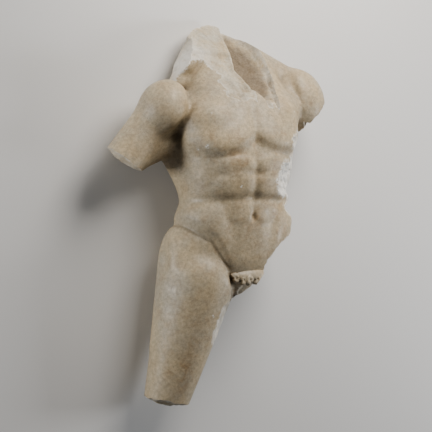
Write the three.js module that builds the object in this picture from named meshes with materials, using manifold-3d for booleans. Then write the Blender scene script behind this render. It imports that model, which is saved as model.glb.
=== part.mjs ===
// A broken marble torso of a standing man, about life size, lying on its back.
// Trunk, shoulders, the stump of the right upper arm and the right thigh are one block of stone.
// Millimetres. +X is the figure's own left, +Y runs to the head, +Z out of the chest and up.
// The surface is where a field of blended body forms is zero. It is found along rays that leave a
// skeleton line from the neck to the knee, and the breaks are then cut with rough blocks.
import * as THREE from 'three';
import Module from 'manifold-3d';

// ---------------------------------------------------------------- driving dimensions
// Heights (Y) are counted from the navel, sides (X) from the middle line.
const SHOULDER_HALF = 200;
const SHOULDER_HEIGHT = 272;
const NECK_ROOT = [-4, 330, -36];
const NECK_TOP = [-24, 450, -44];
const NECK_RADIUS = 60;
const NECK_FLATTENING = 0.86;
const ARM_END = [-346, 62, -22];
const ARM_RADIUS = 50;
const HIP = [-101, -170, 0];
const KNEE = [-190, -500, -16];
const HIP_RADIUS = 93;
const KNEE_RADIUS = 51;
const OUTER_THIGH = [[-130, -130, -10], [-172, -330, -14], 67, 43]; // both ends and their radii
const CHEST_DIP = 0.07; // slope of the shoulder line towards the figure's right
const REST_PLANE = -111; // the floor: shoulder blades and buttocks are flattened here

const AROUND = 56; // rays in one ring
const RINGS = 70; // rings from the neck to the knee
const EASING_ROUNDS = 5; // times that the rings are evened out
const BREAK_CELL = 17; // grid of a broken face
const CARVE = 9; // least half width of a carved furrow

const MARBLE = { color: 0xcfc6b4, roughness: 0.5, metalness: 0.0 };

// Trunk sections, lowest first and evenly spaced: half width, depth to the front, depth to the back.
const SECTION_LOWEST = -225;
const SECTION_STEP = 45;
const SECTION_POWER = 2.35; // 2 is an ellipse, more is squarer
const SECTIONS = [
  [80, 44, 50],
  [120, 66, 78],
  [146, 82, 92],
  [154, 91, 96], // hips
  [150, 98, 84],
  [143, 103, 74], // navel
  [142, 110, 74], // waist
  [146, 119, 84],
  [150, 122, 96], // ribs
  [154, 114, 104],
  [155, 103, 108], // chest
  [150, 90, 108],
  [130, 60, 98], // collar bones
  [92, 26, 84],
  [60, 5, 72],
];

// Carved lines, as x, y points on the front.
const GROIN_LINE = [[-190, -18], [-160, -28], [-128, -54], [-95, -76], [-72, -112], [-55, -145], [-42, -172], [-20, -205]];
const RIB_LINE = [[0, 33], [62, 30], [108, 27], [150, 22]];
const UPPER_BELLY_LINE = [[0, 98], [110, 94]];
const BELLY_SIDE_LINE = [[74, 26], [68, 8], [60, -30], [54, -70], [40, -125]];
const SHOULDER_LINE_RIGHT = [[-138, 335], [-145, 292], [-150, 258], [-164, 226], [-186, 198]];
const SHOULDER_LINE_LEFT = [[150, 352], [151, 322], [158, 288], [166, 250]];

// ---------------------------------------------------------------- small mathematics
const clamp = (v, low, high) => Math.min(high, Math.max(low, v));
const ease = (t) => {
  const u = clamp(t, 0, 1);
  return u * u * (3 - 2 * u);
};
const furrow = (distance, width) => Math.exp(-((distance / width) ** 2));
const swell = (distance, width) => 1 - furrow(Math.max(distance, 0), width);

// Smooth join and smooth cut of two distances.
function blend(a, b, softness) {
  const h = clamp(0.5 + (0.5 * (b - a)) / softness, 0, 1);
  return b + (a - b) * h - softness * h * (1 - h);
}
const trim = (a, b, softness) => -blend(-a, -b, softness);

// A low rounded swelling in the x, y plane, 1 in the middle and 0 outside.
function dome(x, y, cx, cy, halfX, halfY) {
  const power = 2.3;
  return ease(1.12 - Math.abs((x - cx) / halfX) ** power - Math.abs((y - cy) / halfY) ** power);
}

// Distance in the x, y plane to a line through points, and the share of its length run so far.
function lineDistance(x, y, points) {
  let best = Infinity;
  let share = 0;
  for (let i = 0; i + 1 < points.length; i += 1) {
    const [ax, ay] = points[i];
    const dx = points[i + 1][0] - ax;
    const dy = points[i + 1][1] - ay;
    const t = clamp(((x - ax) * dx + (y - ay) * dy) / (dx * dx + dy * dy), 0, 1);
    const distance = Math.hypot(x - ax - t * dx, y - ay - t * dy);
    if (distance < best) {
      best = distance;
      share = (i + t) / (points.length - 1);
    }
  }
  return [best, share];
}

// ---------------------------------------------------------------- body forms
// A limb that tapers from one round end to the other, its radius eased away from the start;
// flattening squeezes it front to back.
function limb(p, from, to, fromRadius, toRadius, flattening = 1) {
  const along = [to[0] - from[0], to[1] - from[1], to[2] - from[2]];
  const rel = [p[0] - from[0], p[1] - from[1], p[2] - from[2]];
  const length2 = along[0] ** 2 + along[1] ** 2 + along[2] ** 2;
  const t = clamp((rel[0] * along[0] + rel[1] * along[1] + rel[2] * along[2]) / length2, 0, 1);
  const depth = (rel[2] - t * along[2]) / flattening;
  const radius = fromRadius + (toRadius - fromRadius) * ((1.12 * t * t) / (t + 0.12));
  return Math.hypot(rel[0] - t * along[0], rel[1] - t * along[1], depth) - radius;
}

// An ellipsoid leaned by a number of degrees in the x, y plane.
function muscle(p, centre, radii, lean = 0) {
  const c = Math.cos((lean * Math.PI) / 180);
  const s = Math.sin((lean * Math.PI) / 180);
  const x = p[0] - centre[0];
  const y = p[1] - centre[1];
  const q = [(x * c + y * s) / radii[0], (y * c - x * s) / radii[1], (p[2] - centre[2]) / radii[2]];
  const k0 = Math.hypot(q[0], q[1], q[2]) + 1e-9;
  const k1 = Math.hypot(q[0] / radii[0], q[1] / radii[1], q[2] / radii[2]) + 1e-9;
  return (k0 * (k0 - 1)) / k1;
}

// Half width and depths at a height, on a smooth curve through the sections.
function section(y) {
  const last = SECTIONS.length - 1;
  const t = clamp((y - SECTION_LOWEST) / SECTION_STEP, 0, last - 1e-6);
  const i = Math.floor(t);
  const f = t - i;
  const at = (k) => SECTIONS[clamp(i + k, 0, last)];
  return [0, 1, 2].map((k) => {
    const [a, b, c, d] = [at(-1)[k], at(0)[k], at(1)[k], at(2)[k]];
    return 0.5 * (2 * b + (c - a) * f + (2 * a - 5 * b + 4 * c - d) * f * f + (3 * b - a - 3 * c + d) * f ** 3);
  });
}

function trunk([x, y, z]) {
  const [half, front, back] = section(y);
  const depth = z > 0 ? front : back;
  const n = SECTION_POWER;
  const q = (Math.abs(x / half) ** n + Math.abs(z / depth) ** n) ** (1 / n) + 1e-9;
  const around = q < 0.05 ? -0.9 * Math.min(half, depth) : Math.hypot(x, z) * (1 - 1 / q);
  return trim(trim(around, y - 395, 30), -215 - y, 30);
}

// Chest muscle: full along its curved lower border, thin towards the collar bone.
function chestMuscle(side, y) {
  const curve = side < 105 ? 0.0029 : 0.0075;
  const aboveBorder = y - (133 + curve * (side - 105) ** 2);
  const thinning = (1 - ease((y - 180) / 130)) * (1 - 0.5 * ease((side - 120) / 60));
  return 17 * swell(aboveBorder, 20) * thinning * (1 - 0.4 * furrow(side, 30));
}

// Belly muscle: low rows between shallow creases, and the navel.
function bellyMuscle(side, y) {
  let h = 4 * dome(side, y, 48, 114, 58, 28) + 5.5 * dome(side, y, 48, 64, 60, 36);
  h += 3.5 * dome(side, y, 33, 6, 44, 36) + 5 * dome(side, y, 0, -74, 84, 84);
  h -= 3 * furrow(side, 12) * ease((y + 20) / 50) * (1 - ease((y - 140) / 60));
  h -= 5 * furrow(lineDistance(side, y, RIB_LINE)[0], 11);
  const [upper, share] = lineDistance(side, y, UPPER_BELLY_LINE);
  h -= 2.6 * furrow(upper, 12) * (1 - 0.7 * share);
  const [border] = lineDistance(side, y, BELLY_SIDE_LINE);
  h -= 5.5 * furrow(border, 17) * ease((y + 105) / 90) * (1 - ease((y - 5) / 40));
  return h - 6.5 * Math.exp(-((side / 8) ** 2) - ((y + 11) / 10) ** 2);
}

// Soft pad over the hip bone, fullest just above the groin line.
function flankPad(x, y, z) {
  const side = Math.abs(x);
  let i = 0;
  while (i < GROIN_LINE.length - 2 && -side > GROIN_LINE[i + 1][0]) i += 1;
  const [x0, y0] = GROIN_LINE[i];
  const [x1, y1] = GROIN_LINE[i + 1];
  const lineHeight = y0 + (y1 - y0) * clamp((-side - x0) / (x1 - x0), 0, 1);
  const height = x < 0 ? 6 + 8 * ease((side - 60) / 80) : 6;
  const around = ease((side - 46) / 34) * (1 - 0.75 * ease((-z - 20) / 50));
  return height * swell(y - lineHeight, 16) * (1 - ease((y + 22) / 62)) * around;
}

// Spine furrow, the long muscles beside it and the shoulder blades.
function backMuscle(side, y) {
  const spine = -11 * furrow(side, 15) * ease((y + 70) / 60) * (1 - ease((y - 330) / 60));
  return spine + 7 * dome(side, y, 42, 20, 34, 120) + 17 * dome(side, y, 80, 262, 60, 90);
}

// Height of the carving out of the trunk.
function carving([x, y, z]) {
  const side = Math.abs(x);
  const breastbone = 3.5 * furrow(side, 13) * ease((y - 140) / 40) * (1 - ease((y - 250) / 60));
  const front = bellyMuscle(side, y) + chestMuscle(side, y) - breastbone;
  return front * ease((z - 5) / 50) + backMuscle(side, y) * ease((-z - 10) / 40) + flankPad(x, y, z);
}

function rightArm(p) {
  const shoulder = [-SHOULDER_HALF + 8, SHOULDER_HEIGHT - 14, -10];
  const arm = limb(p, shoulder, ARM_END, ARM_RADIUS, ARM_RADIUS);
  const armpit = limb(p, [-140, 196, -42], [-250, 144, -38], 46, 42);
  const cap = muscle(p, [-SHOULDER_HALF + 4, SHOULDER_HEIGHT - 16, 8], [63, 70, 63], -26);
  return blend(blend(arm, armpit, 24), cap, 18);
}

function leftShoulder(p) {
  const cap = muscle(p, [SHOULDER_HALF - 8, SHOULDER_HEIGHT + 10, -8], [67, 84, 66], 18);
  const stump = limb(p, [186, 270, -16], [196, 244, -28], ARM_RADIUS + 3, ARM_RADIUS);
  return blend(cap, stump, 16);
}

// The whole body before it was broken: negative inside the stone.
function body(p) {
  const [x, y, z] = p;
  const tilted = [x, y - CHEST_DIP * x * ease((y - 20) / 160), z];
  let d = trunk(tilted) - carving(tilted);
  d = blend(d, limb(tilted, [-158, 225, -50], [-106, 58, -30], 52, 27), 26);
  d = blend(d, limb(tilted, [152, 225, -46], [112, 55, -30], 50, 27), 26);
  for (const side of [-1, 1]) {
    d = blend(d, limb(tilted, [side * 92, 236, 60], [side * 170, 258, 16], 38, 32), 24);
    d = blend(d, muscle(p, [side * 72, -128, -52], [80, 86, 66]), 16);
  }
  d = blend(d, muscle(p, [-128, -112, -8], [66, 90, 68]), 26);
  d = blend(d, muscle(p, [122, -100, -6], [54, 70, 60]), 25);
  d = blend(d, limb(p, NECK_ROOT, NECK_TOP, NECK_RADIUS, NECK_RADIUS - 3, NECK_FLATTENING), 30);
  d = blend(d, limb(p, [-44, 406, -56], [-150, 306, -38], 50, 19), 26);
  d = blend(d, limb(p, [8, 408, -62], [176, 330, -28], 46, 36), 30);
  d = blend(d, limb(p, [-56, 430, -44], [-118, 368, -36], 42, 34), 8);
  d = blend(d, rightArm(p), 14);
  d = blend(d, leftShoulder(p), 14);
  const thigh = blend(limb(p, HIP, KNEE, HIP_RADIUS, KNEE_RADIUS), limb(p, ...OUTER_THIGH), 14);
  d = blend(d, thigh, 12);
  d += 9 * Math.exp(-(((y + 122) / 34) ** 2) - (z / 18) ** 2) * ease((-x - 120) / 30);
  d += 5.5 * furrow(lineDistance(x, y, GROIN_LINE)[0], CARVE) * ease((z + 50) / 40);
  d += 5 * furrow(lineDistance(x, y, SHOULDER_LINE_RIGHT)[0], CARVE) * ease((z - 5) / 30);
  return d + 4.5 * furrow(lineDistance(x, y, SHOULDER_LINE_LEFT)[0], CARVE) * ease((z - 5) / 30);
}

// ---------------------------------------------------------------- surface of the body
// Skeleton line that the rays leave: share of the rings, point, and the cone of the rays as
// degrees off the head direction.
const SKELETON = [
  [0.0, [-6, 262, -14], 0],
  [0.36, [-6, 262, -14], 130],
  [0.46, [0, 110, 5], 116],
  [0.56, [0, 0, 10], 108],
  [0.66, [-20, -95, 5], 118],
  [0.73, [-60, -150, 5], 138],
  [0.8, [-115, -215, 5], 122],
  [0.95, [-168, -440, -20], 112],
  [1.0, [-172, -455, -20], 180],
];

function ray(share, turn) {
  let i = 0;
  while (i < SKELETON.length - 2 && share > SKELETON[i + 1][0]) i += 1;
  const [s0, from, cone0] = SKELETON[i];
  const [s1, to, cone1] = SKELETON[i + 1];
  const f = (share - s0) / (s1 - s0);
  const cone = ((cone0 + (cone1 - cone0) * f) * Math.PI) / 180;
  const start = new THREE.Vector3(...from).lerp(new THREE.Vector3(...to), f);
  const way = new THREE.Vector3(Math.sin(cone) * Math.cos(turn), Math.cos(cone), Math.sin(cone) * Math.sin(turn));
  return [start, way];
}

const fieldAt = (v) => body([v.x, v.y, v.z]);

// Walk outwards until the field turns positive, then halve the last stride.
function surfacePoint(start, way) {
  let inside = 0;
  let reach = 5;
  while (reach < 900) {
    const value = fieldAt(start.clone().addScaledVector(way, reach));
    if (value >= 0) break;
    inside = reach;
    reach += clamp(-0.7 * value, 2, 40);
  }
  for (let i = 0; i < 16; i += 1) {
    const middle = (inside + reach) / 2;
    if (fieldAt(start.clone().addScaledVector(way, middle)) < 0) inside = middle;
    else reach = middle;
  }
  return start.clone().addScaledVector(way, reach);
}

function slope(point) {
  const step = 0.5;
  const value = fieldAt(point);
  const axes = [new THREE.Vector3(step, 0, 0), new THREE.Vector3(0, step, 0), new THREE.Vector3(0, 0, step)];
  const parts = axes.map((axis) => (fieldAt(point.clone().add(axis)) - value) / step);
  return [value, new THREE.Vector3(...parts)];
}

// Slide each point towards the middle of its four neighbours, and back onto the surface.
function easeRings(rings) {
  return rings.map((ring, j) => ring.map((point, i) => {
    if (j === 0 || j === rings.length - 1) return point;
    const middle = new THREE.Vector3().add(rings[j - 1][i]).add(rings[j + 1][i])
      .add(ring[(i + 1) % AROUND]).add(ring[(i + AROUND - 1) % AROUND]).multiplyScalar(0.25);
    const [, out] = slope(point);
    out.normalize();
    const move = middle.sub(point).multiplyScalar(0.5);
    move.addScaledVector(out, -move.dot(out));
    const next = point.clone().add(move);
    const [value, push] = slope(next);
    return next.addScaledVector(push, -clamp(value / (push.lengthSq() + 1e-6), -5, 5));
  }));
}

function bodyRings() {
  let rings = Array.from({ length: RINGS }, (_, j) => Array.from({ length: AROUND }, (__, i) => (
    surfacePoint(...ray(j / (RINGS - 1), (2 * Math.PI * i) / AROUND))
  )));
  for (let k = 0; k < EASING_ROUNDS; k += 1) rings = easeRings(rings);
  return rings;
}

// ---------------------------------------------------------------- meshes and solids
// A closed mesh from rings of points, with the first and last ring drawn together to a point.
function ringsToMesh(rings) {
  const inner = rings.slice(1, -1);
  const points = [...inner.flat(), rings[0][0], rings[rings.length - 1][0]];
  const corners = [];
  const id = (j, i) => j * AROUND + (i % AROUND);
  for (let i = 0; i < AROUND; i += 1) {
    corners.push(inner.length * AROUND, id(0, i + 1), id(0, i));
    corners.push(inner.length * AROUND + 1, id(inner.length - 1, i), id(inner.length - 1, i + 1));
    for (let j = 0; j + 1 < inner.length; j += 1) {
      const [a, b, c, d] = [id(j, i), id(j, i + 1), id(j + 1, i + 1), id(j + 1, i)];
      const short = points[a].distanceTo(points[c]) < points[b].distanceTo(points[d]);
      if (short) corners.push(a, b, c, a, c, d);
      else corners.push(a, b, d, b, c, d);
    }
  }
  return { points, corners };
}

// Height of broken stone: folded waves, each finer and at another turn than the last.
function brokenHeight(s, t, grain, seed) {
  let height = 0;
  for (let i = 0; i < 4; i += 1) {
    const turn = seed * 1.7 + i * 2.4;
    const wave = (2 * Math.PI * 1.9 ** i) / grain;
    const along = (s * Math.cos(turn) + t * Math.sin(turn)) * wave + seed * 3.1 + i * 1.3;
    const across = (t * Math.cos(turn) - s * Math.sin(turn)) * wave * 0.83 + seed * 5.7 + i * 2.1;
    height += 0.5 * 0.52 ** i * (2 * Math.abs(Math.sin(0.5 * along + 0.6 * Math.sin(across))) - 1.25);
  }
  return height;
}

// A block whose near face is broken stone. It takes away everything beyond that face.
function breakingBlock({ at, facing, up, half, depth, rough, grain, seed, shape }) {
  const out = new THREE.Vector3(...facing).normalize();
  const rise = new THREE.Vector3(...up);
  rise.addScaledVector(out, -rise.dot(out)).normalize();
  const right = new THREE.Vector3().crossVectors(rise, out);
  const columns = Math.round((2 * half[0]) / BREAK_CELL) + 1;
  const rows = Math.round((2 * half[1]) / BREAK_CELL) + 1;
  const points = [];
  for (const far of [false, true]) {
    for (let j = 0; j < rows; j += 1) {
      for (let i = 0; i < columns; i += 1) {
        const s = half[0] * ((2 * i) / (columns - 1) - 1);
        const t = half[1] * ((2 * j) / (rows - 1) - 1);
        const height = far ? depth : rough * brokenHeight(s, t, grain, seed) + shape(s, t);
        points.push(new THREE.Vector3(...at).addScaledVector(right, s).addScaledVector(rise, t).addScaledVector(out, height));
      }
    }
  }
  const corners = [];
  const quad = (a, b, c, d) => corners.push(a, b, c, a, c, d);
  const near = (j, i) => j * columns + i;
  const far = (j, i) => rows * columns + j * columns + i;
  for (let j = 0; j + 1 < rows; j += 1) {
    for (let i = 0; i + 1 < columns; i += 1) {
      quad(near(j, i), near(j + 1, i), near(j + 1, i + 1), near(j, i + 1));
      quad(far(j, i), far(j, i + 1), far(j + 1, i + 1), far(j + 1, i));
    }
    quad(near(j, 0), far(j, 0), far(j + 1, 0), near(j + 1, 0));
    quad(near(j, columns - 1), near(j + 1, columns - 1), far(j + 1, columns - 1), far(j, columns - 1));
  }
  for (let i = 0; i + 1 < columns; i += 1) {
    quad(near(0, i), near(0, i + 1), far(0, i + 1), far(0, i));
    quad(near(rows - 1, i), far(rows - 1, i), far(rows - 1, i + 1), near(rows - 1, i + 1));
  }
  return { points, corners };
}

// ---------------------------------------------------------------- the breaks
const plain = () => 0;
const humped = (radius) => (s, t) => -(s * s + t * t) / (2 * radius); // leaves a rounded stump
const scooped = (radius) => (s, t) => (s * s + t * t) / (2 * radius); // runs out at its rim

// Straight runs between [input, output] pairs, held at both ends.
function runs(v, pairs) {
  let i = 0;
  while (i < pairs.length - 2 && v > pairs[i + 1][0]) i += 1;
  const [[x0, y0], [x1, y1]] = [pairs[i], pairs[i + 1]];
  return y0 + (y1 - y0) * clamp((v - x0) / (x1 - x0), 0, 1);
}

// Neck and throat: a lump at the nape, a sloping field, a ridge, and a trough between the ridge and
// the right wall. Past the wall the face climbs out of the stone.
function throat(s, t) {
  const ridge = runs(t, [[-128, 40], [-92, 19], [-58, 3], [-22, -9], [21, 2], [65, 2]]);
  const wall = runs(t, [[-126, 80], [-39, 91], [56, 74], [110, 40]]);
  const u = clamp((s - ridge) / (wall - ridge), 0, 1);
  const depth = runs(t, [[-135, 5], [-105, 18], [-60, 34], [30, 36], [62, 22], [110, 10]]);
  const high = Math.max(t - 80, 0);
  const lump = 7 * ease((t - 24) / 10) * ease((8 + 0.6 * high - s) / (12 + 0.5 * high));
  const low = 6 * ease((-50 - t) / 40) * ease((30 - s) / 30);
  return lump - low - depth * 1.25 * ease(u / 0.2) * (1 - u) ** 0.8 + 1.3 * Math.max(s - wall, 0);
}

// The left hip: proud at its upper end, a step in below the hip bone, and out again lower down.
const hipFace = (s, t) => 9 * ease(t / 90) ** 2 - 13 * ease((50 - t) / 45) + 9 * ease((-35 - t) / 25);

// The left waist: two bites one above the other, and a slope that runs out below them.
const waistFace = (s, t) => 8 * Math.sin((Math.PI * (t - 15)) / 56) ** 2 + 0.7 * Math.max(-32 - t, 0);

const LOST_PARTS = { at: [2, -178, 66], facing: [0.12, -0.66, 0.74], up: [0, 0, 1], half: [46, 44], depth: 60, rough: 2.5, grain: 26, seed: 11, shape: plain };

const BREAKS = [
  { name: 'neck and throat', at: [0, 370, 0], facing: [0.035, 0.7, 0.713], up: [0, 1, -1], half: [125, 165], depth: 200, rough: 3.2, grain: 60, seed: 3, shape: throat },
  { name: 'shoulder slope', at: [-122, 376, -25], facing: [-0.865, 0.496, 0.107], up: [0, 1, 0], half: [90, 64], depth: 90, rough: 1.2, grain: 60, seed: 7, shape: plain },
  { name: 'right arm', at: [-301, 130, -36], facing: [-0.556, -0.77, -0.295], up: [0, 1, 0], half: [100, 100], depth: 130, rough: 2.4, grain: 45, seed: 1, shape: humped(150) },
  { name: 'left arm', at: [218, 246, 48], facing: [0.747, -0.66, 0], up: [0, 1, 0], half: [110, 70], depth: 120, rough: 4, grain: 55, seed: 2, shape: plain },
  { name: 'left flank', at: [124, 150, 83], facing: [0.759, -0.22, 0.607], up: [0, 1, 0], half: [90, 80], depth: 120, rough: 4, grain: 70, seed: 5, shape: plain },
  { name: 'rib spall', at: [86, 78, 92], facing: [0.62, -0.12, 0.77], up: [0.36, 0.93, 0], half: [34, 50], depth: 50, rough: 2, grain: 40, seed: 14, shape: scooped(120) },
  { name: 'left waist', at: [119, 46, 52], facing: [0.86, -0.1, 0.5], up: [0, 1, 0], half: [70, 62], depth: 90, rough: 3, grain: 45, seed: 12, shape: waistFace },
  { name: 'left hip', at: [86, -107, 46], facing: [0.818, -0.54, 0.208], up: [0, 1, 0], half: [190, 190], depth: 260, rough: 5, grain: 80, seed: 4, shape: hipFace },
  { name: 'groin', at: [22, -184, 13], facing: [0.6, -0.8, 0.05], up: [0, 0, 1], half: [70, 125], depth: 110, rough: 3, grain: 30, seed: 9, shape: plain },
  { name: 'thigh end', at: [-158, -476, -6], facing: [0, -1, 0], up: [0, 0, 1], half: [120, 120], depth: 120, rough: 5, grain: 60, seed: 6, shape: humped(130) },
  { name: 'inner thigh', at: [-61, -285, 35], facing: [0.704, -0.28, 0.657], up: [0, 1, 0], half: [50, 70], depth: 60, rough: 2.5, grain: 40, seed: 8, shape: scooped(260) },
];

// ---------------------------------------------------------------- the tuft of hair
// Curls as x, y, z and radius; they lie on a bar that bows forward.
const CURLS = [[-36, -164, 75, 14], [-17, -167, 80, 12], [1, -167, 82, 13], [21, -165, 80, 12], [39, -160, 75, 13]];
const TUFT_ENDS = [-44, 50];
const TUFT_STEPS = 5;
const TUFT_RADIUS = 16;

// ---------------------------------------------------------------- build
const wasm = await Module();
wasm.setup();

function solid({ points, corners }) {
  const vertProperties = new Float32Array(points.flatMap((p) => [p.x, p.y, p.z]));
  const triVerts = new Uint32Array(corners);
  return new wasm.Manifold(new wasm.Mesh({ numProp: 3, vertProperties, triVerts }));
}

function ball([x, y, z], radius, facets) {
  return wasm.Manifold.sphere(radius, facets).translate([x, y, z]);
}

// The bar, as hulls over pairs of balls, with the curls on it.
function tuft() {
  const balls = Array.from({ length: TUFT_STEPS + 1 }, (_, i) => {
    const share = i / TUFT_STEPS;
    const x = TUFT_ENDS[0] + (TUFT_ENDS[1] - TUFT_ENDS[0]) * share;
    const radius = TUFT_RADIUS * Math.sqrt(clamp(1 - (2 * share - 1) ** 6, 0.2, 1));
    return ball([x, -158 + 0.09 * x, 71 - 0.0035 * (x - 6) ** 2], radius, 12);
  });
  const bar = balls.slice(1).map((next, i) => wasm.Manifold.hull([balls[i], next]));
  const curls = CURLS.map(([x, y, z, radius]) => ball([x, y, z], radius, 12));
  return wasm.Manifold.union([...bar, ...curls]);
}

// Everything below the floor, as one plain block.
function floorBlock() {
  const box = new THREE.BoxGeometry(1200, 1400, 200).translate(0, 0, REST_PLANE - 100);
  const { position } = box.attributes;
  const points = [];
  const corners = [...box.index.array].map((corner) => {
    const point = new THREE.Vector3().fromBufferAttribute(position, corner);
    const known = points.findIndex((other) => other.distanceTo(point) < 1e-6);
    if (known >= 0) return known;
    points.push(point);
    return points.length - 1;
  });
  return { points, corners };
}

function torsoGeometry() {
  let stone = solid(ringsToMesh(bodyRings())).subtract(solid(breakingBlock(LOST_PARTS))).add(tuft());
  for (const spec of BREAKS) stone = stone.subtract(solid(breakingBlock(spec)));
  stone = stone.subtract(solid(floorBlock()));
  const mesh = stone.getMesh();
  const geometry = new THREE.BufferGeometry();
  geometry.setAttribute('position', new THREE.BufferAttribute(new Float32Array(mesh.vertProperties), 3));
  geometry.setIndex([...mesh.triVerts]);
  geometry.computeBoundingBox();
  const { min, max } = geometry.boundingBox;
  geometry.translate(-(min.x + max.x) / 2, -(min.y + max.y) / 2, -REST_PLANE);
  return geometry;
}

const torso = new THREE.Mesh(torsoGeometry(), new THREE.MeshStandardMaterial(MARBLE));
torso.name = 'torso';

const sculpture = new THREE.Group();
sculpture.add(torso);
export default sculpture;
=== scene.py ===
"""A broken marble torso of a standing man, about life size, lying on its back on a pale floor.

Millimetres inside the shape functions: x to the figure's own left, y to the head, z out of the chest.
The skin is where a field of blended body forms is zero. Rays leave a skeleton line from the neck to
the knee, and a grid of rings and turns holds the points where they meet the skin. Rough-faced
blocks then break the stone, and a strip of carved curls is joined on.
"""
import math

import bpy
import numpy as np
from mathutils import Matrix, Vector


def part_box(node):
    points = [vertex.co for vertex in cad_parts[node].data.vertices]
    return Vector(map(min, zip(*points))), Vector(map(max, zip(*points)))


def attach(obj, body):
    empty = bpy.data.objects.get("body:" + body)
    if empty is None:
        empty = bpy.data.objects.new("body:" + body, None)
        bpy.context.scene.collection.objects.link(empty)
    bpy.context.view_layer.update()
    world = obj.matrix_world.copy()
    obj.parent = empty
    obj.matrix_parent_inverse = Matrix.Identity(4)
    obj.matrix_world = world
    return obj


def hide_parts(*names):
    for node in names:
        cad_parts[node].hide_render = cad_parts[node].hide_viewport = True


bl_info = {
    "name": "Marble torso",
    "version": (1, 0, 0),
    "blender": (4, 5, 0),
    "location": "View3D > Sidebar > Torso",
    "description": "Builds a broken marble torso of a man, lying on its back",
    "category": "Object",
}

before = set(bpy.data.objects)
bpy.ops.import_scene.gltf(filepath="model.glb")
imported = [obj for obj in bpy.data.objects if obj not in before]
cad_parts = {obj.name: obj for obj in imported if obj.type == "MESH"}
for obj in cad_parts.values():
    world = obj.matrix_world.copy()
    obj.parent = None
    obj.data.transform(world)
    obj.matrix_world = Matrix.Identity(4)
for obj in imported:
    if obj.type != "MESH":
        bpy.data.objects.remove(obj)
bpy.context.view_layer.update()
STONE_LOW, STONE_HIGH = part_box("torso")
MM = 0.001

# ------------------------------------------------------------------ the figure's sizes
SHOULDER_HALF = 200
SHOULDER_HEIGHT = 272
NECK_ROOT = (-4, 330, -36)
NECK_TOP = (-24, 450, -44)
NECK_RADIUS = 60
NECK_FLATTENING = 0.86
ARM_END = (-346, 62, -22)
ARM_RADIUS = 50
HIP = (-101, -170, 0)
KNEE = (-190, -500, -16)
HIP_RADIUS = 93
KNEE_RADIUS = 51
OUTER_THIGH = ((-130, -130, -10), (-172, -330, -14), 67, 43)
CHEST_DIP = 0.07
TRUNK_TOP = 395
TRUNK_FOOT = -215
TRUNK_END_SOFTNESS = 30
REST_PLANE = -111
GRADIENT_STEP = 0.5

# Trunk sections, lowest first and evenly spaced: half width, depth to the front, depth to the back.
SECTION_LOWEST = -225
SECTION_STEP = 45
SECTION_POWER = 2.35
SECTIONS = np.array([
    (80, 44, 50),
    (120, 66, 78),
    (146, 82, 92),
    (154, 91, 96),  # hips
    (150, 98, 84),
    (143, 103, 74),  # navel
    (142, 110, 74),  # waist
    (146, 119, 84),
    (150, 122, 96),  # ribs
    (154, 114, 104),
    (155, 103, 108),  # chest
    (150, 90, 108),
    (130, 60, 98),  # collar bones
    (92, 26, 84),
    (60, 5, 72),
], float)

# Carved lines, as x, y points on the front.
GROIN_LINE = (
    (-190, -18), (-160, -28), (-128, -54), (-95, -76), (-72, -112), (-55, -145), (-42, -172), (-20, -205),
)
RIB_LINE = ((0, 33), (62, 30), (108, 27), (150, 22))
UPPER_BELLY_LINE = ((0, 98), (110, 94))
BELLY_SIDE_LINE = ((74, 26), (68, 8), (60, -30), (54, -70), (40, -125))
SHOULDER_LINE_RIGHT = ((-138, 335), (-145, 292), (-150, 258), (-164, 226), (-186, 198))
SHOULDER_LINE_LEFT = ((150, 352), (151, 322), (158, 288), (166, 250))

# Fineness: points in a ring, rings, times that they are evened out, and cells in millimetres.
TURNS = 120
RINGS = 140
EASING_ROUNDS = 8
SKIN_CELL = 3.95
BREAK_CELL = 2.4

# Skeleton line that the rays leave: share of the rings, x, y, z, and the cone of the rays as degrees
# off the head direction.
SKELETON = np.array([
    (0.00, -6, 262, -14, 0),
    (0.36, -6, 262, -14, 130),
    (0.46, 0, 110, 5, 116),
    (0.56, 0, 0, 10, 108),
    (0.66, -20, -95, 5, 118),
    (0.73, -60, -150, 5, 138),
    (0.80, -115, -215, 5, 122),
    (0.95, -168, -440, -20, 112),
    (1.00, -172, -455, -20, 180),
], float)


# ------------------------------------------------------------------ small mathematics
def ease(t):
    """Smooth step: 0 below 0, 1 above 1, three t squared less two t cubed between."""
    t = np.clip(t, 0.0, 1.0)
    return t * t * (3 - 2 * t)


def furrow(distance, width):
    """Bell curve: e to the minus distance over width, squared."""
    return np.exp(-((distance / width) ** 2))


def swell(distance, width):
    """One less the bell curve, on the positive side only."""
    return 1 - furrow(np.maximum(distance, 0), width)


def blend(a, b, softness):
    """Smooth least of two distances: their mix, less softness times h times one less h."""
    h = np.clip(0.5 + 0.5 * (b - a) / softness, 0.0, 1.0)
    return b + (a - b) * h - softness * h * (1 - h)


def trim(a, b, softness):
    """Smooth greatest of two distances."""
    return -blend(-a, -b, softness)


def dome(x, y, cx, cy, half_x, half_y):
    """Low swelling in the x, y plane: an eased superellipse of power 2.3."""
    power = 2.3
    return ease(1.12 - np.abs((x - cx) / half_x) ** power - np.abs((y - cy) / half_y) ** power)


def line_distance(x, y, points):
    """Least distance in the x, y plane to a line through points, and the share of it run so far."""
    best = np.full(x.shape, np.inf)
    share = np.zeros(x.shape)
    for i, ((ax, ay), (bx, by)) in enumerate(zip(points, points[1:])):
        dx, dy = bx - ax, by - ay
        t = np.clip(((x - ax) * dx + (y - ay) * dy) / (dx * dx + dy * dy), 0, 1)
        distance = np.hypot(x - ax - t * dx, y - ay - t * dy)
        share = np.where(distance < best, (i + t) / (len(points) - 1), share)
        best = np.minimum(distance, best)
    return best, share


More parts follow.
